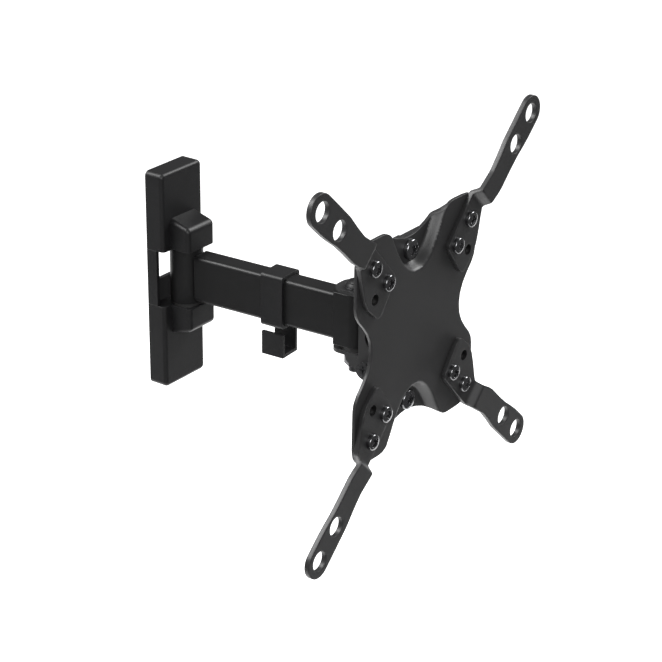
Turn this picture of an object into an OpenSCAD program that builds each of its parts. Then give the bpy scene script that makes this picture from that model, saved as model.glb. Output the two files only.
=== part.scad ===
/* [Pose] */
// Swing of the arm from straight out, towards +X, degrees
arm_swing = 3.3; // [-90:0.1:90]
// Turn of the head about its upright pivot, against the arm's swing, degrees
head_turn = 3.3; // [-75:0.1:75]
// Downward tilt of the screen plate, degrees
head_tilt = 0; // [-5:0.5:15]
// Place of the cable clip along the arm, from the wall pivot
clip_at = 66.5; // [32:0.1:94]

/* [Wall bracket and cover] */
// Width of the plastic wall cover
cover_w = 36.5; // [32:0.5:44]
// Depth of the plastic wall cover
cover_d = 12.6; // [11:0.1:14]
// Top of the cover above the arm's centre line
cover_top = 65.2; // [62:0.1:75]
// Bottom of the cover below the arm's centre line
cover_bottom = 70; // [62:0.1:80]
// Thickness of the steel wall plate
wall_t = 2.5; // [2:0.1:3]
// Spacing of the two wall screw holes
wall_hole_gap = 100; // [96:1:110]
// Diameter of the wall screw holes
wall_hole_d = 6.5; // [5:0.1:8]
// Distance of the upright wall pivot from the wall
pivot_y = 15; // [14.8:0.1:18]

/* [Arm] */
// Distance between the two upright pivots
arm_len = 118.4; // [110:0.1:140]
// Height of the rectangular arm tube
tube_h = 28.6; // [26:0.2:30]
// Thickness of the rectangular arm tube
tube_t = 14.2; // [12:0.2:14.4]
// Wall of the arm tube
tube_wall = 1.5; // [1:0.1:2]
// Wall of the cable clip's collar
clip_wall = 1.9; // [1.5:0.1:2.5]
// Length of the cable clip along the arm
clip_len = 14.8; // [10:0.2:20]

/* [Screen plate] */
// Spacing of the outer screw holes, a 200 by 200 pattern
vesa_outer = 200; // [200:1:200]
// Diameter of the holes in the extension arms
vesa_hole_d = 11.5; // [8.5:0.5:12]
// Thickness of the pressed steel plate
plate_t = 2; // [1.5:0.1:2.5]
// Depth of the two pressed pads
pad_depth = 6.2; // [5:0.1:7]
// Thickness of the flat steel extension arms
ext_t = 3; // [2:0.1:3]
// Forward step in each extension arm
ext_step = 4.8; // [3:0.1:6]
// Height of the plate's centre above the arm's centre line
plate_z = 4.5; // [0:0.5:6]
// Distance from the head pivot to the front of the extension arms
head_reach = 48.9; // [46:0.1:50]

/* [Hidden] */
$fn = 64;

eps = 0.01;
plastic = [0.13, 0.13, 0.13];
coated_steel = [0.17, 0.17, 0.18];
screw_black = [0.08, 0.08, 0.08];
zinc = [0.55, 0.56, 0.58];
nylon = [0.85, 0.85, 0.82];

// Wall side
bracket_w = 32;
bracket_top = cover_top - 3;
bracket_bottom = cover_bottom - 3;
ear_z = 18.5;
ear_t = 2.5;
ear_w = 20;
ear_len = pivot_y + 10 - wall_t;
slot_floor = 7.3;
slot_top = 17;
slot_bottom = 17.9;
cover_wall = 2;
cap_w = 24;
cap_front = 26.8;
cap_low = 17.8;
cap_high = 36.5;
cap_slope = 4.1;
cap_wall = 1.6;

// Wall pivot
pin_d = 8;
run_gap = 0.05;
barrel_r = 10;
washer_t = 1.6;
barrel_h = 2 * (ear_z - washer_t) - 0.4;

// Arm
tube_start = 10.4;
tube_end = arm_len - 7;
knuckle_wall = 1.9;
knuckle_start = arm_len - 10;
knuckle_w = tube_t + 2 * knuckle_wall;
knuckle_h = tube_h + 2 * knuckle_wall;

// Head pivot stack, heights above the arm's centre line
flange_t = 2.2;
flange_gap = 2.3;
flange_top = -knuckle_h / 2 - flange_gap;
flange_low = flange_top - flange_t;
bracket_half = 9.1;
upper_flange = knuckle_h / 2 + 0.2;
dome_r = 6.8;
dome_h = 4.2;
head_washer_t = 0.8;
head_washer_z = upper_flange + flange_t;
bolt_head_t = 2.6;

// Tilt pivot, in the head's own frame: y forward is negative
tilt_y = -15.4;
tilt_z = -23.6;
lug_t = 2.5;
tilt_ear_half = 12.7;
tilt_ear_t = 2.4;
tilt_lobe_r = 7.2;
tilt_gap = 0.1;
tilt_pin_d = 6;

// Screen plate, in the head's own frame
ext_front = -head_reach;
plate_front = ext_front + ext_step + ext_t;
pad_back = plate_front + pad_depth + plate_t;
web_t = 2.5;
web_back = pad_back + web_t;
plate_bolt_z = 45.5;
pad_centre = 52;
pad_r = 18.5;
pad_skin = 2.8;
inner_screw = [34, 39];
outer_screw = [46.5, 51];
free_hole = [45.5, 32.7];
inner_vesa = [85, 85.5];

// Points of an arc from angle a0 to a1 about c
function arc(c, r, a0, a1, n = 8) =
    [for (i = [0 : n]) let (a = a0 + (a1 - a0) * i / n) c + r * [cos(a), sin(a)]];

// Rectangle with rounded corners, as a list of points
function round_rect(w, h, r) = concat(
    arc([w / 2 - r, h / 2 - r], r, 0, 90),
    arc([-w / 2 + r, h / 2 - r], r, 90, 180),
    arc([-w / 2 + r, -h / 2 + r], r, 180, 270),
    arc([w / 2 - r, -h / 2 + r], r, 270, 360));

// Upright hexagon nut with its hole
module hex_nut(across, h, hole_d) {
    difference() {
        cylinder(d = across / cos(30), h = h, $fn = 6);
        translate([0, 0, -1]) cylinder(d = hole_d, h = h + 2);
    }
}

// Flat ring lying on z = 0
module ring(outer_d, inner_d, h) {
    difference() {
        cylinder(d = outer_d, h = h);
        translate([0, 0, -1]) cylinder(d = inner_d, h = h + 2);
    }
}

// Places its children in the arm's frame: origin on the wall pivot, arm along -Y
module in_arm() {
    translate([0, -pivot_y, 0]) rotate([0, 0, arm_swing]) children();
}

// Places its children in the head's frame: origin on the head pivot, plate along -Y
module in_head() {
    in_arm() translate([0, -arm_len, 0]) rotate([0, 0, -head_turn]) children();
}

// Places its children in the head's frame, tilted about the tilt bolt
module in_tilt() {
    in_head()
        translate([0, tilt_y, tilt_z]) rotate([head_tilt, 0, 0])
            translate([0, -tilt_y, -tilt_z]) children();
}

// Turns an XY drawing upright, so that its y becomes z and it grows towards +Y from y0
module upright(y0, depth) {
    translate([0, y0 + depth, 0]) rotate([90, 0, 0]) linear_extrude(depth) children();
}

// Ear bent forward out of the wall plate, lying between z0 and z0 + ear_t
module wall_ear(z0) {
    translate([0, -wall_t, z0]) linear_extrude(ear_t) difference() {
        polygon(concat(
            [[-ear_w / 2, eps], [ear_w / 2, eps]],
            arc([0, -pivot_y + wall_t], ear_w / 2, 0, -180, 24)));
    }
}

module wall_bracket() {
    window_w = ear_w + 1;
    color(coated_steel) difference() {
        union() {
            translate([0, 0, (bracket_top - bracket_bottom) / 2])
                upright(-wall_t, wall_t)
                    polygon(round_rect(bracket_w, bracket_top + bracket_bottom, 4));
            wall_ear(ear_z);
            wall_ear(-ear_z - ear_t);
        }
        translate([-window_w / 2, -wall_t - 1, ear_z - ear_len])
            cube([window_w, wall_t + 2, ear_len]);
        translate([-window_w / 2, -wall_t - 1, -ear_z - ear_t - ear_len])
            cube([window_w, wall_t + 2, ear_len]);
        for (s = [-1, 1])
            translate([0, 1, s * wall_hole_gap / 2]) rotate([90, 0, 0])
                cylinder(d = wall_hole_d, h = wall_t + 2);
        translate([0, -pivot_y, -ear_z - ear_t - 1])
            cylinder(d = pin_d + 0.6, h = 2 * (ear_z + ear_t) + 2);
    }
}

module wall_cover() {
    h = cover_top + cover_bottom;
    mid = (cover_top - cover_bottom) / 2;
    cap_inside = cap_high - cap_wall - 0.5;
    color(plastic) difference() {
        translate([0, 0, mid]) upright(-cover_d, cover_d) polygon(round_rect(cover_w, h, 3));
        translate([0, 0, mid]) upright(-cover_d + cover_wall, cover_d)
            polygon(round_rect(cover_w - 2 * cover_wall, h - 2 * cover_wall, 1.5));
        translate([-cover_w / 2 - 1, -cover_d - 1, -slot_bottom])
            cube([cover_w + 2, cover_d + 1 - slot_floor, slot_top + slot_bottom]);
        translate([-cap_w / 2 + cap_wall, -cover_d - 1, -cap_inside])
            cube([cap_w - 2 * cap_wall, cover_wall + 2, 2 * cap_inside]);
    }
}

// One plastic knuckle cap: a hollow box with a sloping top, open below and behind
module knuckle_cap() {
    depth = cap_front - cover_d;
    outer = [[0, cap_low], [-depth, cap_low], [-depth, cap_high - cap_slope], [0, cap_high]];
    inner = [
        [1, cap_low - 1], [-depth + cap_wall, cap_low - 1],
        [-depth + cap_wall, cap_high - cap_slope - cap_wall], [1, cap_high - cap_wall + 0.3]
    ];
    translate([-cap_w / 2, -cover_d, 0]) difference() {
        rotate([90, 0, 90]) linear_extrude(cap_w) polygon(outer);
        translate([cap_wall, 0, 0]) rotate([90, 0, 90])
            linear_extrude(cap_w - 2 * cap_wall) polygon(inner);
    }
}

module upper_knuckle_cap() {
    color(plastic) knuckle_cap();
}

module lower_knuckle_cap() {
    color(plastic) mirror([0, 0, 1]) knuckle_cap();
}

module wall_pivot_bolt() {
    top = ear_z + ear_t;
    color(zinc) translate([0, -pivot_y, 0]) {
        translate([0, 0, -top - 8]) cylinder(d = pin_d, h = 2 * top + 8 + eps);
        translate([0, 0, top]) cylinder(d = 13 / cos(30), h = 5.3, $fn = 6);
    }
}

module wall_pivot_nut() {
    color(zinc) translate([0, -pivot_y, -ear_z - ear_t - 6.5]) hex_nut(13, 6.5, pin_d);
}

module wall_pivot_washers() {
    color(nylon) for (z = [ear_z - washer_t, -ear_z])
        translate([0, -pivot_y, z]) ring(19, pin_d + 0.1, washer_t);
}

module wall_pivot_bushes() {
    bush_len = 10;
    color(nylon) in_arm() for (z = [barrel_h / 2 - bush_len, -barrel_h / 2])
        translate([0, 0, z]) ring(pin_d + 3, pin_d + 2 * run_gap, bush_len);
}

module arm_barrel() {
    neck_t = 9.8;
    color(coated_steel) in_arm() difference() {
        union() {
            translate([0, 0, -barrel_h / 2]) cylinder(r = barrel_r, h = barrel_h);
            translate([-neck_t / 2, -tube_start - 12, -tube_h / 2 + tube_wall])
                cube([neck_t, tube_start + 12, tube_h - 2 * tube_wall]);
        }
        translate([0, 0, -barrel_h]) cylinder(d = pin_d + 3, h = 2 * barrel_h);
    }
}

module arm_tube() {
    color(coated_steel) in_arm() upright(-tube_end, tube_end - tube_start) difference() {
        polygon(round_rect(tube_t, tube_h, 2.5));
        polygon(round_rect(tube_t - 2 * tube_wall, tube_h - 2 * tube_wall, 1));
    }
}

module cable_clip() {
    gap = 0.15;
    in_w = tube_t + 2 * gap;
    in_h = tube_h + 2 * gap;
    out_w = in_w + 2 * clip_wall;
    out_h = in_h + 2 * clip_wall;
    hook_low = -34.6;
    hook_top = -20.2;
    hook_left = -8;
    hook_right = 7;
    color(plastic) in_arm() upright(-clip_at - clip_len / 2, clip_len) {
        difference() {
            polygon(round_rect(out_w, out_h, 2.5));
            polygon(round_rect(in_w, in_h, 1.5));
        }
        translate([hook_right - clip_wall, hook_low])
            square([clip_wall, -hook_low - out_h / 2 + clip_wall / 2]);
        translate([hook_left, hook_low]) square([hook_right - hook_left, clip_wall]);
        translate([hook_left, hook_low]) square([clip_wall, hook_top - hook_low]);
    }
}

module arm_end_knuckle() {
    socket = tube_end - knuckle_start;
    color(coated_steel) in_arm() difference() {
        union() {
            translate([-knuckle_w / 2, -arm_len, -knuckle_h / 2])
                cube([knuckle_w, arm_len - knuckle_start, knuckle_h]);
            translate([0, -arm_len, -knuckle_h / 2]) cylinder(d = knuckle_w, h = knuckle_h);
        }
        translate([-tube_t / 2, -tube_end, -tube_h / 2]) cube([tube_t, socket + 1, tube_h]);
        translate([0, -arm_len, -knuckle_h]) cylinder(d = pin_d + 3, h = 2 * knuckle_h);
    }
}

module head_pivot_bush() {
    color(nylon) in_arm() translate([0, -arm_len, -knuckle_h / 2])
        ring(pin_d + 3, pin_d + 2 * run_gap, knuckle_h);
}

module head_pivot_bolt() {
    top = head_washer_z + head_washer_t;
    low = flange_low - 12;
    color(zinc) in_head() {
        translate([0, 0, low]) cylinder(d = pin_d, h = top - low + eps);
        translate([0, 0, top]) cylinder(d = 10.5, h = bolt_head_t);
    }
}

module head_dome_cap() {
    ball_r = (dome_r * dome_r + dome_h * dome_h) / (2 * dome_h);
    color(plastic) in_head() translate([0, 0, head_washer_z + head_washer_t]) difference() {
        intersection() {
            cylinder(r = dome_r, h = dome_h);
            translate([0, 0, dome_h - ball_r]) sphere(r = ball_r);
        }
        translate([0, 0, -1]) cylinder(d = 10.5, h = bolt_head_t + 1);
    }
}

module head_top_washer() {
    color(zinc) in_head() translate([0, 0, head_washer_z]) ring(2 * dome_r, pin_d, head_washer_t);
}

module head_lower_washer() {
    color(nylon) in_head() translate([0, 0, flange_top]) ring(17, pin_d, flange_gap - 0.1);
}

module head_pivot_nut() {
    color(zinc) in_head() translate([0, 0, flange_low - 8]) hex_nut(11.4, 8, pin_d);
}

// Flange of the swivel bracket with its back end rounded, its underside at z0
module swivel_flange(z0, rear) {
    corner = 7;
    translate([0, 0, z0]) linear_extrude(flange_t) polygon(concat(
        arc([bracket_half - corner, rear - corner], corner, 0, 90),
        arc([-bracket_half + corner, rear - corner], corner, 90, 180),
        [[-bracket_half, -12.3], [bracket_half, -12.3]]));
}

// Bent steel bracket: a C round the knuckle, with two lugs under it for the tilt bolt
module swivel_bracket() {
    web_y = -11.3;
    lug = concat(
        [[1.4, flange_top - 0.2], [web_y - lug_t + 0.2, flange_top - 0.2]],
        arc([tilt_y, tilt_z], tilt_lobe_r - 0.4, 120, 290, 16),
        [[-2.7, -26.2], [0.4, -23.4]]);
    color(coated_steel) in_head() difference() {
        union() {
            swivel_flange(flange_low, 12.6);
            swivel_flange(upper_flange, 11.4);
            translate([-bracket_half, web_y - lug_t, flange_top - 0.2])
                cube([2 * bracket_half, lug_t, head_washer_z - flange_top + 0.2]);
            for (x = [-bracket_half, bracket_half - lug_t])
                translate([x, 0, 0]) rotate([90, 0, 90]) linear_extrude(lug_t) polygon(lug);
        }
        translate([0, 0, flange_low - 1]) cylinder(d = pin_d + 0.4, h = head_washer_z - flange_low + 2);
        translate([-bracket_half - 1, tilt_y, tilt_z]) rotate([0, 90, 0])
            cylinder(d = tilt_pin_d + 0.4, h = 2 * bracket_half + 2);
    }
}

module tilt_bolt() {
    head_x = -tilt_ear_half - tilt_gap;
    head_t = 1.9;
    color(screw_black) in_head() translate([head_x, tilt_y, tilt_z]) rotate([0, 90, 0]) {
        cylinder(d = tilt_pin_d, h = 2 * tilt_ear_half + 8);
        translate([0, 0, -head_t]) difference() {
            cylinder(d = 8.6, h = head_t + eps);
            for (a = [0, 90])
                rotate([0, 0, a]) translate([-2.4, -0.5, -1]) cube([4.8, 1, 2.4]);
        }
    }
}

module tilt_nut() {
    color(zinc) in_head() translate([tilt_ear_half + tilt_gap, tilt_y, tilt_z]) rotate([0, 90, 0])
        hex_nut(10, 5, tilt_pin_d);
}

module tilt_washers() {
    t = tilt_ear_half - tilt_ear_t - bracket_half - tilt_gap;
    color(nylon) in_head() for (x = [-bracket_half - t, bracket_half])
        translate([x, tilt_y, tilt_z]) rotate([0, 90, 0]) ring(12.5, tilt_pin_d, t);
}

module tilt_spacer() {
    inside = 2 * (bracket_half - lug_t);
    color(zinc) in_head() translate([-inside / 2, tilt_y, tilt_z]) rotate([0, 90, 0])
        ring(7.6, tilt_pin_d, inside);
}

// Channel behind the plate: a long web with two flanges that end in round ears
module tilt_bracket() {
    web_w = 37;
    web_low = plate_z - 53;
    web_high = plate_z + 53.2;
    ear_low = tilt_z - 3;
    flange_back = -10.6;
    ear = concat(
        [[pad_back + eps, ear_low - 8], [tilt_y - 3, tilt_z - 6.2]],
        arc([tilt_y, tilt_z], tilt_lobe_r, -110, 40, 16),
        [[flange_back, -16.5], [flange_back, 22], [flange_back - 3, 26], [pad_back + eps, 32]]);
    color(coated_steel) in_tilt() difference() {
        union() {
            translate([0, 0, (web_high + web_low) / 2]) upright(pad_back, web_t)
                polygon(round_rect(web_w, web_high - web_low, 4));
            for (s = [-1, 1])
                translate([s * tilt_ear_half - (s > 0 ? tilt_ear_t : 0), 0, 0])
                    rotate([90, 0, 90]) linear_extrude(tilt_ear_t) polygon(ear);
        }
        translate([-tilt_ear_half - 1, tilt_y, tilt_z]) rotate([0, 90, 0])
            cylinder(d = tilt_pin_d + 2 * run_gap, h = 2 * tilt_ear_half + 2);
        translate([-tilt_ear_half - 1, -22.3, -4]) rotate([0, 90, 0])
            cylinder(d = 14.4, h = 2 * tilt_ear_half + 2);
        for (s = [-1, 1])
            translate([0, web_back + 1, plate_z + s * plate_bolt_z]) rotate([90, 0, 0])
                cylinder(d = 6.4, h = web_t + 2);
    }
}

// One quarter of the plate's outline, from the waist up to the pad's edge
function plate_quarter() = concat(
    [[43.2, 0], [44, 6], [46.4, 11.5], [50.6, 17], [54.8, 21.5]],
    arc([48.5, 30], 10, -25, 0, 4),
    arc([48, 54.5], 10.5, 0, 90, 8),
    [[30, 64.8], [26.5, 62.4], [22.5, 59.4], [17.5, 56.4], [11, 54.2], [5, 53], [0, 52.8]]);

// The whole outline: the quarter mirrored into the other three
function plate_outline() =
    let (q = plate_quarter(), n = len(q)) concat(
        q,
        [for (i = [n - 1 : -1 : 0]) [-q[i][0], q[i][1]]],
        [for (i = [0 : n - 1]) [-q[i][0], -q[i][1]]],
        [for (i = [n - 1 : -1 : 0]) [q[i][0], -q[i][1]]]);

// Space pressed into the plate for the upper pad: r wide at the front, narrowing at 45 degrees
module pad_space(r, d0, d1) {
    y0 = plate_front + d0;
    y1 = plate_front + d1;
    translate([0, y0, pad_centre]) rotate([-90, 0, 0]) cylinder(r1 = r - d0, r2 = r - d1, h = d1 - d0);
    translate([0, 0, pad_centre]) linear_extrude(30)
        polygon([[d0 - r, y0], [r - d0, y0], [r - d1, y1], [d1 - r, y1]]);
}

module vesa_plate() {
    full_depth = pad_depth + plate_t;
    color(coated_steel) in_tilt() translate([0, 0, plate_z]) difference() {
        intersection() {
            upright(plate_front, full_depth) polygon(plate_outline());
            union() {
                translate([-80, plate_front, -80]) cube([160, plate_t, 160]);
                for (s = [0, 1]) mirror([0, 0, s]) pad_space(pad_r + pad_skin, 0, full_depth);
            }
        }
        for (s = [0, 1]) mirror([0, 0, s]) pad_space(pad_r, -1, pad_depth);
        for (s = [-1, 1])
            translate([0, pad_back + 1, s * plate_bolt_z]) rotate([90, 0, 0])
                cylinder(d = 6.4, h = full_depth + 2);
        for (sx = [-1, 1], sz = [-1, 1], p = [inner_screw, outer_screw, free_hole])
            translate([sx * p[0], plate_front + plate_t + 1, sz * p[1]]) rotate([90, 0, 0])
                cylinder(d = 5.2, h = plate_t + 2);
    }
}

// Screw with a pan head and a cross recess, its head's underside at y = 0, pointing to +Y
module pan_screw(d, head_d, head_h, length, cross) {
    rotate([-90, 0, 0]) {
        translate([0, 0, -eps]) cylinder(d = d, h = length);
        translate([0, 0, -head_h]) difference() {
            cylinder(d = head_d, h = head_h);
            for (a = [0, 90])
                rotate([0, 0, a]) translate([-cross / 2, -0.5, -1]) cube([cross, 1, 2.6]);
        }
    }
}

module plate_bolts() {
    color(screw_black) in_tilt() for (s = [-1, 1])
        translate([0, plate_front + pad_depth, plate_z + s * plate_bolt_z])
            pan_screw(6, 12, 3.6, plate_t + web_t + 7, 6);
}

module plate_nuts() {
    color(zinc) in_tilt() for (s = [-1, 1])
        translate([0, web_back + 5, plate_z + s * plate_bolt_z]) rotate([90, 0, 0])
            hex_nut(10, 5, 6);
}

// Outline of the flat base of an extension arm; x and z from the plate's centre
function ext_base_outline() = concat(
    arc([29.5, 39.6], 3.2, 130, 215, 5),
    arc([41.5, 24.6], 4, 215, 300, 6),
    [[51.4, 28.4], [54.6, 34], [56.6, 42], [58, 49]],
    [ext_bend_right(0), ext_bend_left(0)]);

// The two edges of the neck, t along the diagonal from the first bend
function ext_bend_right(t) = [59.2, 54.4] + t * [sqrt(0.5), sqrt(0.5)];
function ext_bend_left(t) = [49, 65.4] + t * [sqrt(0.5), sqrt(0.5)];

// Outline of the forward part, which ends round about its outer screw hole
function ext_outer_outline() = concat(
    [ext_bend_left(3.4), ext_bend_right(3.4)],
    [[67.2, 59.5], [71.5, 62.6], [80, 71], [87, 77.2], [93, 80.7]],
    arc([100.6, 100.6], 9.5, -45, 135, 20),
    [[82.2, 95.3], [75.5, 90.4], [68.6, 81.8], [62.5, 75.6]]);

module extension_arm() {
    slope = [ext_bend_right(0), ext_bend_right(3.4), ext_bend_left(3.4), ext_bend_left(0)];
    mid_y = ext_front + ext_step;
    difference() {
        union() {
            upright(mid_y, ext_t) polygon(ext_base_outline());
            upright(ext_front, ext_t) polygon(ext_outer_outline());
            hull() {
                upright(mid_y, ext_t) polygon([
                    slope[0], slope[3], slope[3] - [0.3, 0.3], slope[0] - [0.3, 0.3]]);
                upright(ext_front, ext_t) polygon([
                    slope[1], slope[2], slope[2] + [0.3, 0.3], slope[1] + [0.3, 0.3]]);
            }
        }
        for (p = [[vesa_outer / 2, vesa_outer / 2], inner_vesa])
            translate([p[0], ext_front + ext_t + 1, p[1]]) rotate([90, 0, 0])
                cylinder(d = vesa_hole_d, h = ext_t + 2);
        for (p = [inner_screw, outer_screw])
            translate([p[0], mid_y + ext_t + 1, p[1]]) rotate([90, 0, 0])
                cylinder(d = 5.2, h = ext_t + 2);
        translate([free_hole[0], mid_y + ext_t + 1, free_hole[1]]) rotate([90, 0, 0])
            cylinder(d = 6, h = ext_t + 2);
    }
}

// Places an extension arm in the corner with the signs sx and sz
module arm_corner(sx, sz) {
    color(coated_steel) in_tilt() translate([0, 0, plate_z])
        mirror([sx < 0 ? 1 : 0, 0, 0]) mirror([0, 0, sz < 0 ? 1 : 0]) extension_arm();
}

module extension_arm_top_right() {
    arm_corner(1, 1);
}

module extension_arm_top_left() {
    arm_corner(-1, 1);
}

module extension_arm_bottom_left() {
    arm_corner(-1, -1);
}

module extension_arm_bottom_right() {
    arm_corner(1, -1);
}

module extension_arm_screws() {
    color(screw_black) in_tilt()
        for (sx = [-1, 1], sz = [-1, 1], p = [inner_screw, outer_screw])
            translate([sx * p[0], plate_front - ext_t, plate_z + sz * p[1]])
                pan_screw(5, 9.4, 3, ext_t + plate_t + 5, 4.6);
}

module extension_arm_nuts() {
    color(zinc) in_tilt()
        for (sx = [-1, 1], sz = [-1, 1], p = [inner_screw, outer_screw])
            translate([sx * p[0], plate_front + plate_t + 4, plate_z + sz * p[1]])
                rotate([90, 0, 0]) hex_nut(8, 4, 5);
}

wall_bracket();
wall_cover();
upper_knuckle_cap();
lower_knuckle_cap();
wall_pivot_bolt();
wall_pivot_nut();
wall_pivot_washers();
wall_pivot_bushes();
arm_barrel();
arm_tube();
cable_clip();
arm_end_knuckle();
head_pivot_bush();
head_pivot_bolt();
head_dome_cap();
head_top_washer();
head_lower_washer();
head_pivot_nut();
swivel_bracket();
tilt_bolt();
tilt_nut();
tilt_washers();
tilt_spacer();
tilt_bracket();
vesa_plate();
plate_bolts();
plate_nuts();
extension_arm_top_right();
extension_arm_top_left();
extension_arm_bottom_left();
extension_arm_bottom_right();
extension_arm_screws();
extension_arm_nuts();
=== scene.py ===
import math

import bmesh
import bpy
import numpy as np
from mathutils import Matrix, Vector
from mathutils.geometry import delaunay_2d_cdt


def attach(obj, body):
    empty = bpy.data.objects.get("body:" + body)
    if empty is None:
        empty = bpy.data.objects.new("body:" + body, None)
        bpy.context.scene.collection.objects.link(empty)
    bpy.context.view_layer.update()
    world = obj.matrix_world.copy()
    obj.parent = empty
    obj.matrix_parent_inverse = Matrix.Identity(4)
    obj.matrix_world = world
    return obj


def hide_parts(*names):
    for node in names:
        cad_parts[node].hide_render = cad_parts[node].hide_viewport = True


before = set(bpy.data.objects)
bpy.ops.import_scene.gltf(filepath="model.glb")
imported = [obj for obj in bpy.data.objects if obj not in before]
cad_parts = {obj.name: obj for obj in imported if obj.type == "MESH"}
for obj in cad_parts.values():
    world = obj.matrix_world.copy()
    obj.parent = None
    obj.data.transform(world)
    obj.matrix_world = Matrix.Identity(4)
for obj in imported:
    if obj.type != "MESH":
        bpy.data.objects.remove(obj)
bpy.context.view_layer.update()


# ---------------------------------------------------------------- wall bracket and its hinge pin
# The bracket is bent from thick steel sheet, with an ear above and below the arm, and is powder
# coated matt black with a very fine grain. The hinge bolt and nut are dark plated steel, and the
# washers and bushes that the arm turns on are black nylon.


def black_finish(name, colour, roughness, grain_mm, grain_height, mottle, metallic=0.0, specular=0.5):
    """Nearly black surface: colour and roughness drift up and down by the share mottle, over patches
    of a few centimetres, and a bump grain_height metres high has grains about grain_mm across."""
    finish = bpy.data.materials.new(name)
    finish.use_nodes = True
    nodes, links = finish.node_tree.nodes, finish.node_tree.links
    shader = nodes["Principled BSDF"]
    shader.inputs["Metallic"].default_value = metallic
    shader.inputs["Specular IOR Level"].default_value = specular
    place = nodes.new("ShaderNodeTexCoord")
    patches = nodes.new("ShaderNodeTexNoise")
    patches.inputs["Scale"].default_value = 38.0
    patches.inputs["Detail"].default_value = 4.0
    tone = nodes.new("ShaderNodeValToRGB")
    dark, light = tone.color_ramp.elements
    dark.position, light.position = 0.3, 0.7
    dark.color = (*[c * (1 - mottle) for c in colour], 1)
    light.color = (*[c * (1 + mottle) for c in colour], 1)
    gloss = nodes.new("ShaderNodeMapRange")
    gloss.inputs["To Min"].default_value = roughness * (1 - mottle)
    gloss.inputs["To Max"].default_value = roughness * (1 + mottle)
    grain = nodes.new("ShaderNodeTexNoise")
    grain.inputs["Scale"].default_value = 1000.0 / grain_mm
    grain.inputs["Detail"].default_value = 2.0
    bump = nodes.new("ShaderNodeBump")
    bump.inputs["Strength"].default_value = 0.5
    bump.inputs["Distance"].default_value = grain_height
    links.new(place.outputs["Object"], patches.inputs["Vector"])
    links.new(place.outputs["Object"], grain.inputs["Vector"])
    links.new(patches.outputs["Fac"], tone.inputs["Fac"])
    links.new(patches.outputs["Fac"], gloss.inputs["Value"])
    links.new(tone.outputs["Color"], shader.inputs["Base Color"])
    links.new(gloss.outputs["Result"], shader.inputs["Roughness"])
    links.new(grain.outputs["Fac"], bump.inputs["Height"])
    links.new(bump.outputs["Normal"], shader.inputs["Normal"])
    return finish


def dress_node(name, finish, edge=0.0):
    """Gives a CAD node its finish, and takes a rounded strip this many metres wide off its edges."""
    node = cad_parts[name]
    node.data.materials.clear()
    node.data.materials.append(finish)
    if edge > 0:
        weld = node.modifiers.new("join", "WELD")
        weld.merge_threshold = 0.000005
        bevel = node.modifiers.new("edge", "BEVEL")
        bevel.width = edge
        bevel.segments = 3
        bevel.limit_method = "ANGLE"
        bevel.angle_limit = math.radians(40)
        even = node.modifiers.new("even", "WEIGHTED_NORMAL")
        even.weight = 80
        even.keep_sharp = False


coat = black_finish("powder_coat", (0.017, 0.017, 0.0175), roughness=0.45, grain_mm=0.9,
                    grain_height=0.00006, mottle=0.10, specular=0.45)
plating = black_finish("dark_plating", (0.10, 0.10, 0.105), roughness=0.34, grain_mm=1.6,
                       grain_height=0.00004, mottle=0.15, metallic=0.9)
nylon = black_finish("black_nylon", (0.02, 0.02, 0.02), roughness=0.55, grain_mm=1.5,
                     grain_height=0.00005, mottle=0.10)
turned_edge = 0.0002

dress_node("wall_bracket", coat, edge=0.0003)
dress_node("wall_pivot_bolt", plating, edge=turned_edge)
dress_node("wall_pivot_nut", plating, edge=turned_edge)
dress_node("wall_pivot_washers", nylon)
dress_node("wall_pivot_bushes", nylon)


# ---------------------------------------------------------------- wall cover
# A cover moulded in black plastic with a fine spark-eroded grain, clipped over the wall bracket: one
# box open to the wall above the hinge and one below it, with softly rounded front edges, joined by
# two low rails that leave a window on each side for the arm.

moulding = black_finish("black_moulding", (0.0075, 0.0075, 0.008), roughness=0.46, grain_mm=1.3,
                        grain_height=0.00009, mottle=0.12, specular=0.3)
cover_half, cover_depth, cover_wall, cover_fillet, cover_corner = 18.25, 12.6, 2.0, 2.4, 3.2
slot_corner, inner_corner, rim_y = 0.25, 1.3, -0.06
cover_top, slot_top, slot_bottom, cover_bottom = 65.2, 17, -17.9, -70
rail_depth, rail_corner = 7.3, 0.2


def corner_loop(x0, x1, z0, z1, radii, y):
    """Rectangle at depth y whose corners are quarter circles; it runs anticlockwise from the lower
    right, with radii for the lower right, upper right, upper left and lower left."""
    points = []
    for (cx, cz, start), r in zip(((x1, z0, -90), (x1, z1, 0), (x0, z1, 90), (x0, z0, 180)), radii):
        angle = np.radians(np.linspace(start, start + 90, 7))
        middle_x, middle_z = cx + (-r if cx == x1 else r), cz + (-r if cz == z1 else r)
        points.append(np.column_stack([
            middle_x + r * np.cos(angle), np.full(7, y), middle_z + r * np.sin(angle)]))
    return np.vstack(points)


def ring_quads(first, n, rings):
    """Quads between rings of n points that follow each other in a vertex list, starting at first."""
    i = np.arange(n)
    j = (i + 1) % n
    starts = first + n * np.arange(rings - 1)[:, None]
    return np.stack([starts + i, starts + j, starts + n + j, starts + n + i], axis=2).reshape(-1, 4)


def skin(loops):
    """Closed skin through loops of equal length, with a flat face on the first and the last."""
    n, count = len(loops[0]), len(loops)
    ends = [list(range(n)), list(range((count - 1) * n, count * n))]
    return np.vstack(loops), ends + ring_quads(0, n, count).tolist()


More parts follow.
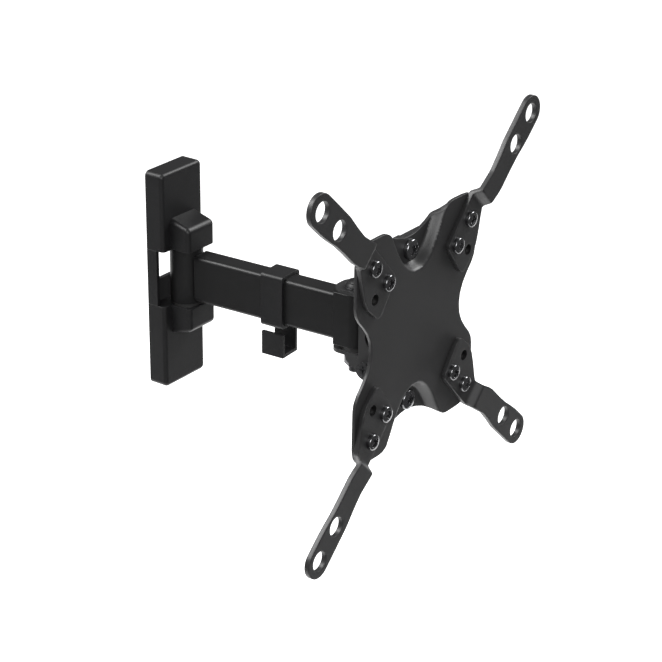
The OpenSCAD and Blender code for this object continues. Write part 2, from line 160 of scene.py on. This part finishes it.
def place_mesh(name, mesh, finish, body, *nodes, sharp):
    """Turns a closed mesh's faces outward, smooths its edges under sharp degrees and lets it stand
    for its CAD nodes."""
    work = bmesh.new()
    work.from_mesh(mesh)
    bmesh.ops.recalc_face_normals(work, faces=work.faces)
    work.to_mesh(mesh)
    work.free()
    mesh.shade_smooth()
    mesh.set_sharp_from_angle(angle=math.radians(sharp))
    mesh.materials.append(finish)
    obj = bpy.data.objects.new(name, mesh)
    bpy.context.scene.collection.objects.link(obj)
    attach(obj, body)
    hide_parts(*nodes)
    return obj


def add_moulding(name, skins, node, sharp):
    """One moulded piece on the wall side, from closed skins given in millimetres."""
    points, faces, first = [], [], 0
    for skin_points, skin_faces in skins:
        points.append(skin_points)
        faces += [[first + corner for corner in face] for face in skin_faces]
        first += len(skin_points)
    mesh = bpy.data.meshes.new(name)
    mesh.from_pydata((np.vstack(points) * 0.001).tolist(), [], faces)
    piece = place_mesh(name, mesh, moulding, "wall_side", node, sharp=sharp)
    even = piece.modifiers.new("even", "WEIGHTED_NORMAL")
    even.weight = 90
    even.keep_sharp = True


def cover_box(z_slot, z_end):
    """Half of the cover, from the slot to its far end: a loop for each step of the front fillet, the
    rim at the wall, and then the inside, one wall thickness in."""
    up = z_end > z_slot

    def loop(inset, y, far_corner, slot_wall=0.0):
        """The box's outline at depth y, moved in by inset except at the slot."""
        z_near, z_far = (z_slot + slot_wall, z_end - inset) if up else (z_slot - slot_wall, z_end + inset)
        low, high = sorted((z_near, z_far))
        radii = [slot_corner, far_corner, far_corner, slot_corner]
        return corner_loop(inset - cover_half, cover_half - inset, low, high,
                           radii if up else np.roll(radii, 2), y)

    loops = []
    for angle in np.radians(np.linspace(90, 0, 7)):
        inset = cover_fillet * (1 - math.cos(angle))
        loops.append(loop(inset, cover_fillet * (1 - math.sin(angle)) - cover_depth, cover_corner - inset))
    loops.append(loop(0, rim_y, cover_corner))
    loops.append(loop(cover_wall, rim_y, inner_corner, cover_wall))
    loops.append(loop(cover_wall, cover_wall - cover_depth, inner_corner, cover_wall))
    return skin(loops)


def cover_rail(x0, x1):
    """A low strip of the cover beside the slot."""
    levels = (rim_y, rail_corner - rail_depth, -rail_depth)
    return skin([corner_loop(x0, x1, slot_bottom, slot_top, [rail_corner] * 4, y) for y in levels])


cover_skins = [cover_box(slot_top, cover_top), cover_box(slot_bottom, cover_bottom),
               cover_rail(-cover_half, cover_wall - cover_half),
               cover_rail(cover_half - cover_wall, cover_half)]
add_moulding("moulded_wall_cover", cover_skins, "wall_cover", sharp=40)


# ---------------------------------------------------------------- knuckle caps
# Two caps of the same plastic hide the hinge ears. Each is a box whose top slopes down towards the
# room, with all its free edges well rounded, and hollow so that it fits over the ear and the bolt.

cap_half, cap_back, cap_front, cap_wall, cap_round = 12.0, -12.6, -26.8, 1.6, 2.7
cap_low, cap_high, cap_fall = 17.8, 36.5, 4.1 / 14.2


def cap_loop(flip, inset, drop=0.0, level=None):
    """The cap's outline moved in by inset, its front corners quarter circles: at one level, or drop
    below the top, which falls evenly from back to front; flip = -1 mirrors it below the arm."""
    x, front = cap_half - inset, cap_front + inset
    r = max(cap_round - inset, 0.3)
    angle = np.radians(np.linspace(0, -90, 9))
    right = np.column_stack([x - r + r * np.cos(angle), front + r + r * np.sin(angle)])
    left = (right * [-1, 1])[::-1]
    outline = np.vstack([[(x, cap_back)], right, left, [(-x, cap_back)]])
    top = cap_high - cap_fall * (cap_back - outline[:, 1])
    height = top - drop if level is None else np.full(len(outline), level)
    return np.column_stack([outline, height * flip])


def cap_skin(flip):
    """Loops over the rounded top edge, down the outside, under the rim and up inside."""
    angles = np.radians(np.linspace(90, 0, 8))
    loops = [cap_loop(flip, cap_round * (1 - math.cos(a)), cap_round * (1 - math.sin(a))) for a in angles]
    for inset, lift in ((0.0, 0.5), (0.15, 0.12), (0.5, 0.0), (cap_wall, 0.0)):
        loops.append(cap_loop(flip, inset, level=cap_low + lift))
    loops.append(cap_loop(flip, cap_wall, cap_wall + 0.4))
    return skin(loops)


add_moulding("moulded_upper_cap", [cap_skin(1)], "upper_knuckle_cap", sharp=35)
add_moulding("moulded_lower_cap", [cap_skin(-1)], "lower_knuckle_cap", sharp=35)


# ---------------------------------------------------------------- arm
# A rectangular steel tube welded to an upright barrel at the wall and to a socket with the second
# upright bore at the head, all coated together in a slightly darker black than the brackets.

arm_coat = black_finish("arm_powder_coat", (0.007, 0.007, 0.0073), roughness=0.43, grain_mm=0.9,
                        grain_height=0.00006, mottle=0.10, specular=0.3)
dress_node("arm_barrel", arm_coat, edge=0.0005)
dress_node("arm_tube", arm_coat, edge=0.0003)
dress_node("arm_end_knuckle", arm_coat, edge=0.0006)


# ---------------------------------------------------------------- cable clip
# A collar moulded in the same black plastic as the covers. It fits round the arm's tube, slides
# along it, and has an open hook under it for the screen's cables.

dress_node("cable_clip", moulding, edge=0.0004)


# ---------------------------------------------------------------- head
# A bent steel bracket hangs on an upright bolt through the arm's end, under a domed plastic cap. Its
# two lugs carry the tilt bolt, a blackened steel screw that clamps the bracket behind the plate.

screw_black = black_finish("black_screw", (0.15, 0.15, 0.155), roughness=0.2, grain_mm=2.0,
                           grain_height=0.00002, mottle=0.15, metallic=0.95)
dress_node("swivel_bracket", coat, edge=0.0004)
dress_node("head_dome_cap", moulding, edge=turned_edge)
dress_node("head_pivot_bush", nylon)
dress_node("head_lower_washer", nylon)
for fixing in ("head_pivot_bolt", "head_pivot_nut", "head_top_washer"):
    dress_node(fixing, plating, edge=turned_edge)

dress_node("tilt_bracket", coat, edge=0.0004)
dress_node("tilt_bolt", screw_black, edge=turned_edge)
dress_node("tilt_nut", plating, edge=turned_edge)
dress_node("tilt_spacer", plating, edge=turned_edge)
dress_node("tilt_washers", nylon)


# ---------------------------------------------------------------- screen plate
# One sheet of 2 mm steel, cut to a waisted outline and coated like the bracket. A deep seat for a
# bolt is pressed into the middle of its top and bottom edges, with soft walls that flare outwards.

# Painted shade: a nearly black, dull finish for the walls of the small holes, standing for the shade deep
# inside them.
painted_shade_bore = black_finish("painted_shade_bore", (0.004, 0.004, 0.004), roughness=0.6, grain_mm=0.9,
                         grain_height=0.00004, mottle=0.10, specular=0.1)
head_x, plate_z = 0.0068156, 0.0045
plate_front, plate_t, arm_t = -174.3037, 2.0, 3.0
seat_depth, seat_wall, seat_spread = 6.2, 4.3, 1.3
free_hole_x, free_hole_z, small_hole = 45.5, 32.7, 4
hole_edge, rim_angles = 0.18, np.radians([0, 30, 60, 90])


def smooth_loop(points, step, spread):
    """A closed outline resampled every step mm, then blurred along its length by a Gaussian whose
    deviation is spread mm, which multiplies its Fourier terms."""
    points = np.asarray(points, float)
    closed = np.vstack([points, points[:1]])
    run = np.concatenate([[0], np.cumsum(np.hypot(*np.diff(closed, axis=0).T))])
    count = int(round(run[-1] / step))
    at = np.linspace(0, run[-1], count, endpoint=False)
    even = np.column_stack([np.interp(at, run, closed[:, axis]) for axis in (0, 1)])
    waves = np.fft.fftfreq(count, d=run[-1] / count)
    blur = np.exp(-2 * (math.pi * waves * spread) ** 2)[:, None]
    return np.fft.ifft(np.fft.fft(even, axis=0) * blur, axis=0).real


def outward(loop):
    """Unit normals of a closed outline that runs anticlockwise: its direction turned to the right."""
    along = np.roll(loop, -1, axis=0) - np.roll(loop, 1, axis=0)
    along /= np.hypot(*along.T)[:, None]
    return np.column_stack([along[:, 1], -along[:, 0]])


def inside(points, loop):
    """Which points lie inside a closed outline: those with an odd number of edges to their right."""
    a, b = loop, np.roll(loop, -1, axis=0)
    x, z = points[:, 0][:, None], points[:, 1][:, None]
    spans = (a[:, 1] > z) != (b[:, 1] > z)
    cross = (b[:, 0] - a[:, 0]) * (z - a[:, 1]) / (b[:, 1] - a[:, 1] + 1e-12) + a[:, 0]
    return (np.sum(spans & (x < cross), axis=1) % 2) == 1


def rim_rings(rim, ease, front, back):
    """Rings over a cut edge from the front face to the back: each follows a quarter circle of radius
    ease at the front and another at the back."""
    rings = []
    for face, side, angles in ((front, 1, rim_angles[::-1]), (back, -1, rim_angles)):
        for angle in angles:
            x, z = (rim - outward(rim) * ease * (1 - math.cos(angle))).T
            rings.append(np.column_stack([x, face(x, z) + side * ease * (1 - math.sin(angle)), z]))
    return rings


def face_triangles(rims, holes, edge, spacing):
    """Points on a grid of this spacing between the rims, and the triangles that join them and the
    rims' own points; a triangle whose middle lies in a hole is left out."""
    outer = rims[0]
    low, high = outer.min(0), outer.max(0)
    across, upward = np.meshgrid(np.arange(low[0], high[0], spacing), np.arange(low[1], high[1], spacing))
    grid = np.column_stack([across.ravel(), upward.ravel()])
    margin = spacing * 0.55
    keep = inside(grid, outer - outward(outer) * margin)
    for x, z, r in holes:
        keep &= np.hypot(grid[:, 0] - x, grid[:, 1] - z) > r + edge + margin
    grid = grid[keep]
    flat = np.vstack(rims + [grid])
    borders, first = [], 0
    for rim in rims:
        borders += [(first + k, first + (k + 1) % len(rim)) for k in range(len(rim))]
        first += len(rim)
    _, _, joined, sources, _, _ = delaunay_2d_cdt([Vector(p) for p in flat], borders, [], 1, 1e-7)
    triangles = np.array([given[0] for given in sources])[np.array(joined)]
    middles = flat[triangles].mean(axis=1)
    in_hole = np.any([inside(middles, rim) for rim in rims[1:]], axis=0)
    return grid, triangles[~in_hole]


def add_sheet(name, node, outline, holes, front, back, edge, spacing, mirror):
    """A pressed steel sheet on the head. Its faces are the heights front(x, z) and back(x, z) over an
    outline in millimetres from the plate's centre, its cut edges are rounded by edge, and mirror
    turns it into another quarter. The wall of a hole under small_hole in radius gets painted shade:
    a nearly black, dull finish that stands for the dark inside of the hole."""
    rims, eases = [outline], [edge] + [hole_edge] * len(holes)
    turn = np.linspace(0, -2 * math.pi, 48, endpoint=False)
    for x, z, r in holes:
        rims.append(np.column_stack([x + r * np.cos(turn), z + r * np.sin(turn)]))
    points, quads, painted_shade_walls, on_front, on_back, first = [], [], [], [], [], 0
    for rim, ease, radius in zip(rims, eases, [math.inf] + [r for _, _, r in holes]):
        rings = rim_rings(rim, ease, front, back)
        points += rings
        quads.append(ring_quads(first, len(rim), len(rings)))
        # flags the walls of small holes for the painted shade finish
        painted_shade_walls.append(np.full(len(quads[-1]), int(radius < small_hole)))
        on_front.append(first + np.arange(len(rim)))
        first += len(rings) * len(rim)
        on_back.append(first - len(rim) + np.arange(len(rim)))
    face_rims = [rim - outward(rim) * ease for rim, ease in zip(rims, eases)]
    grid, triangles = face_triangles(face_rims, holes, edge, spacing)
    x, z = grid.T
    points += [np.column_stack([x, front(x, z), z]), np.column_stack([x, back(x, z), z])]
    on_front = np.concatenate(on_front + [first + np.arange(len(grid))])
    on_back = np.concatenate(on_back + [first + len(grid) + np.arange(len(grid))])
    placed = np.vstack(points) * [mirror[0], 1, mirror[1]] * 0.001 + np.array([head_x, 0, plate_z])
    mesh = bpy.data.meshes.new(name)
    faces = np.vstack(quads).tolist() + on_front[triangles].tolist() + on_back[triangles].tolist()
    mesh.from_pydata(placed.tolist(), [], faces)
    place_mesh(name, mesh, coat, "screen_side", node, sharp=40)
    # second slot: the painted shade finish for the walls of the small holes
    mesh.materials.append(painted_shade_bore)
    finishes = np.zeros(len(faces), dtype=np.int32)
    finishes[:sum(map(len, painted_shade_walls))] = np.concatenate(painted_shade_walls)
    mesh.polygons.foreach_set("material_index", finishes)


seat_half = [(4, 34.0), (7.8, 35.8), (12.6, 39.4), (17.0, 44.8), (20.2, 49.8), (22.8, 55.0), (25.6, 60.0),
             (28.6, 65.0), (31, 70), (34, 80)]
seat_edge = smooth_loop(seat_half + [(-x, z) for x, z in seat_half[::-1]], step=1.0, spread=2.0)


def seat_press(x, z, grow=0.0):
    """How deep the seats are pressed at a point: seat_depth times the smoothstep of d / seat_wall,
    where d is the distance in from the seat's edge; grow widens the seat."""
    at = np.column_stack([x, np.abs(z)])
    near = np.full(len(at), math.inf)
    for a, b in zip(seat_edge, np.roll(seat_edge, -1, axis=0)):
        run = b - a
        t = np.clip((at - a) @ run / (run @ run), 0, 1)
        near = np.minimum(near, np.hypot(*(at - a - t[:, None] * run).T))
    t = np.clip((np.where(inside(at, seat_edge), near, -near) + grow) / seat_wall, 0, 1)
    return seat_depth * t * t * (3 - 2 * t)


def plate_front_face(x, z):
    """Depth of the plate's front: flat, and pressed towards the wall at the seats."""
    return plate_front + seat_press(x, z)


def plate_back_face(x, z):
    """Depth of the plate's back: a thickness behind the front, with seats seat_spread mm wider."""
    return plate_front + plate_t + seat_press(x, z, seat_spread)


quarter = [(43.2, 0), (44, 6), (46.4, 11.5), (50.6, 17), (54.8, 21.5), (57.3, 25.5), (58.2, 30), (58.3, 40),
           (58.4, 54), (57.4, 59), (54.6, 62.6), (50, 64.8), (44, 65.4), (35, 65.5), (31, 65.1), (28.2, 63.7),
           (25.4, 61.4), (22.5, 59.6), (17.5, 57.0), (11, 54.6), (5, 53.2), (0, 52.8)]
upper_half = quarter + [(-x, z) for x, z in quarter[-2::-1]]
whole_plate = upper_half + [(x, -z) for x, z in upper_half[-2:0:-1]]
plate_holes = [(sx * free_hole_x, sz * free_hole_z, 2.6) for sx in (-1, 1) for sz in (-1, 1)]
plate_outline = smooth_loop(whole_plate, step=0.9, spread=0.9)
add_sheet("pressed_screen_plate", "vesa_plate", plate_outline, plate_holes,
          plate_front_face, plate_back_face, edge=0.25, spacing=0.8, mirror=(1, 1))


# ---------------------------------------------------------------- extension arms
# Four strips of 3 mm steel screwed to the plate's corners. Each is stepped forward just outside the
# plate, narrows to a neck, and widens to a round end with two large holes; its cut edges are eased.

step_height, step_start, step_length, step_lead = 4.8, 80.0, 4.4, 1.0
strip_front = plate_front - arm_t - step_height
tip_middle, tip_radius, tip_angles = 100.6, 9.5, np.radians(np.arange(-36, 140, 9))
tip = [(tip_middle + tip_radius * math.cos(angle), tip_middle + tip_radius * math.sin(angle))
       for angle in tip_angles]
root_to_tip = [
    (27.4, 42.0), (26.6, 40.6), (26.3, 39.2), (26.9, 37.7), (38.2, 22.3), (39.6, 21.0), (41.3, 20.5),
    (43.2, 21.1), (51.4, 28.4), (54.4, 34), (56.6, 42), (58, 49), (59.4, 54.2), (61.8, 56.8), (67.2, 59.8),
    (71.5, 62.8), (80, 71), (87, 77.2), (93, 81.6), (98.4, 85.9), (103.4, 90.4)]
tip_to_root = [(88.0, 101.9), (82.0, 96.3), (75.5, 90.2), (68.6, 82.0), (62.5, 75.4), (52.2, 68.2),
               (49.2, 65.4), (40, 55.7)]
strip_outline = smooth_loop(root_to_tip + tip + tip_to_root, step=0.8, spread=0.7)
strip_holes = [(100, 100, 5.75), (85, 85.5, 5.75), (free_hole_x, free_hole_z, 3.0)]


def strip_front_face(x, z):
    """Depth of the strip's front face: strip_front past the step and step_height nearer the wall
    before it, with a smoothstep of the distance along the diagonal between."""
    t = np.clip(((x + z) / math.sqrt(2) - step_start) / step_length, 0, 1)
    return strip_front + step_height * (1 - t * t * (3 - 2 * t))


def strip_back_face(x, z):
    """Depth of the strip's back: a thickness behind its front, with the step moved out by step_lead
    across and upward."""
    return strip_front_face(x - step_lead, z - step_lead) + arm_t


for corner, mirror in (("top_right", (1, 1)), ("top_left", (-1, 1)),
                       ("bottom_left", (-1, -1)), ("bottom_right", (1, -1))):
    add_sheet("stepped_arm_" + corner, "extension_arm_" + corner, strip_outline, strip_holes,
              strip_front_face, strip_back_face, edge=0.3, spacing=1.0, mirror=mirror)


# ---------------------------------------------------------------- screws and nuts of the plate
# Pan-head machine screws of blackened steel, turned and then stamped with a tapering cross. Eight
# hold the extension arms and two larger ones hold the plate, each with a plated nut behind it.

around, dome_rings = 72, 26
strip_screws, plate_screw_z = ((34, 39), (46.5, 51)), 0.0455


def screw_profile(head_r, head_h, shank_r, length):
    """Radii and heights of a screw's rings: domed top, side, underside, shank and its end."""
    dome = [(head_r * f, head_h * (1 - 0.30 * f ** 3.2)) for f in np.linspace(0.02, 0.9, dome_rings)]
    side = [(head_r * 0.95, head_h * 0.72), (head_r * 0.985, head_h * 0.62), (head_r, head_h * 0.45),
            (head_r, 0.12), (head_r - 0.1, 0)]
    shank = [(shank_r, 0), (shank_r, 0.4 - length), (shank_r - 0.4, -length), (0.1, -length)]
    return np.array(dome + side + shank)


def cross_depth(u, v, head_h, cross):
    """Depth of the stamped cross, which is cross mm wide in all: full in its core and along its arms
    with steep sides, and growing shallower outwards."""
    along, across = np.maximum(np.abs(u), np.abs(v)), np.minimum(np.abs(u), np.abs(v))
    arm = np.clip((cross * 0.17 + 0.1 - 0.05 * along - across) / 0.12, 0, 1)
    end = np.clip((cross / 2 - along) / 0.25, 0, 1)
    core = np.clip((cross * 0.26 - np.hypot(u, v)) / 0.3, 0, 1)
    return np.maximum(arm * end, core) * head_h * 0.62 * (1 - 0.7 * along / cross)


def add_screws(name, node, seats, head_r, head_h, shank_r, length, cross):
    """Screws whose heads stand on seats, each x, y, z in metres and the cross's turn in radians."""
    turn = np.arange(around) * 2 * math.pi / around
    profile = screw_profile(head_r, head_h, shank_r, length)
    u = profile[:, :1] * np.cos(turn)
    v = profile[:, :1] * np.sin(turn)
    height = np.repeat(profile[:, 1:], around, axis=1)
    height[:dome_rings] -= cross_depth(u[:dome_rings], v[:dome_rings], head_h, cross)
    points, faces = [], []
    for k, (px, py, pz, spin) in enumerate(seats):
        x = u * math.cos(spin) - v * math.sin(spin)
        z = u * math.sin(spin) + v * math.cos(spin)
        local = np.stack([x, -height, z], axis=2).reshape(-1, 3)
        points.append(np.array([px, py, pz]) + local * 0.001)
        first = k * len(local)
        faces += ring_quads(first, around, len(profile)).tolist()
        faces.append(list(range(first, first + around)))
        faces.append(list(range(first + len(local) - around, first + len(local))))
    mesh = bpy.data.meshes.new(name)
    mesh.from_pydata(np.vstack(points).tolist(), [], faces)
    place_mesh(name, mesh, screw_black, "screen_side", node, sharp=38)


strip_seats = []
for k, (sx, sz) in enumerate(((-1, 1), (1, 1), (1, -1), (-1, -1))):
    for m, (x, z) in enumerate(strip_screws):
        strip_seats.append((head_x + sx * x * 0.001, (plate_front - arm_t) * 0.001,
                            plate_z + sz * z * 0.001, 0.35 + 0.9 * k + 0.55 * m))
plate_seats = [(head_x, (plate_front + seat_depth) * 0.001, plate_z + s * plate_screw_z, 0.3 + s * 0.2)
               for s in (1, -1)]
add_screws("extension_screws", "extension_arm_screws", strip_seats,
           head_r=4.7, head_h=3.0, shank_r=2.5, length=9.9, cross=5.4)
add_screws("plate_screws", "plate_bolts", plate_seats,
           head_r=6.0, head_h=3.6, shank_r=3.0, length=11.4, cross=7.0)
dress_node("plate_nuts", plating, edge=turned_edge)
dress_node("extension_arm_nuts", plating, edge=turned_edge)


# ---------------------------------------------------------------- floor, light and camera
# A plain studio: a bright pale floor well below the object, which lights itself a little and reaches
# only as far as the camera sees it, a dim grey surround, and three soft square lights, from the
# right, from above and behind on the left, and from beside the camera.

floor_z, floor_near, floor_far = -0.75, (-0.6, -0.5), (5, 5)
floor_mesh = bpy.data.meshes.new("studio_floor")
floor_mesh.from_pydata([(floor_near[0], floor_near[1], floor_z), (floor_far[0], floor_near[1], floor_z),
                        (floor_far[0], floor_far[1], floor_z), (floor_near[0], floor_far[1], floor_z)],
                       [], [(0, 1, 2, 3)])
floor = bpy.data.objects.new("studio_floor", floor_mesh)
bpy.context.scene.collection.objects.link(floor)
pale = bpy.data.materials.new("pale_floor")
pale.use_nodes = True
pale_shader = pale.node_tree.nodes["Principled BSDF"]
pale_shader.inputs["Base Color"].default_value = (0.95, 0.95, 0.95, 1)
pale_shader.inputs["Roughness"].default_value = 0.9
pale_shader.inputs["Emission Color"].default_value = (1, 1, 1, 1)
pale_shader.inputs["Emission Strength"].default_value = 0.95
floor_mesh.materials.append(pale)

surround = bpy.data.worlds.new("studio")
bpy.context.scene.world = surround
surround.use_nodes = True
surround.node_tree.nodes["Background"].inputs["Color"].default_value = (1, 1, 1, 1)
surround.node_tree.nodes["Background"].inputs["Strength"].default_value = 0.16
bpy.context.scene.view_settings.view_transform = "Standard"


def soft_light(name, place, aim, size, power):
    """Square light of this size in metres and power in watts, turned towards aim."""
    lamp = bpy.data.lights.new(name, "AREA")
    lamp.size = size
    lamp.energy = power
    stand = bpy.data.objects.new(name, lamp)
    stand.location = place
    stand.rotation_euler = (Vector(aim) - Vector(place)).to_track_quat("-Z", "Y").to_euler()
    bpy.context.scene.collection.objects.link(stand)


soft_light("key", (1.3, -0.75, 1.15), (0, -0.1, 0), size=0.8, power=36)
soft_light("top", (-0.75, 0.75, 1.3), (0, -0.1, 0), size=0.8, power=42)
soft_light("front", (-1.2, -1.25, 0.75), (0, -0.15, 0), size=0.9, power=26)

camera_data = bpy.data.cameras.new("camera")
camera_data.sensor_width = 36
camera_data.lens = 115.48
camera_data.clip_start = 0.01
camera = bpy.data.objects.new("camera", camera_data)
azimuth, elevation, roll = (math.radians(angle) for angle in (-54.170, 24.011, 0.596))
back = Vector((math.sin(azimuth) * math.cos(elevation), -math.cos(azimuth) * math.cos(elevation),
               math.sin(elevation)))
right = Vector((0, 0, 1)).cross(back).normalized()
up = back.cross(right)
rolled_right = right * math.cos(roll) + up * math.sin(roll)
rolled_up = up * math.cos(roll) - right * math.sin(roll)
camera.matrix_world = (Matrix.Translation((-0.8928, -0.7653, 0.4808))
                       @ Matrix((rolled_right, rolled_up, back)).transposed().to_4x4())
bpy.context.scene.collection.objects.link(camera)
bpy.context.scene.camera = camera
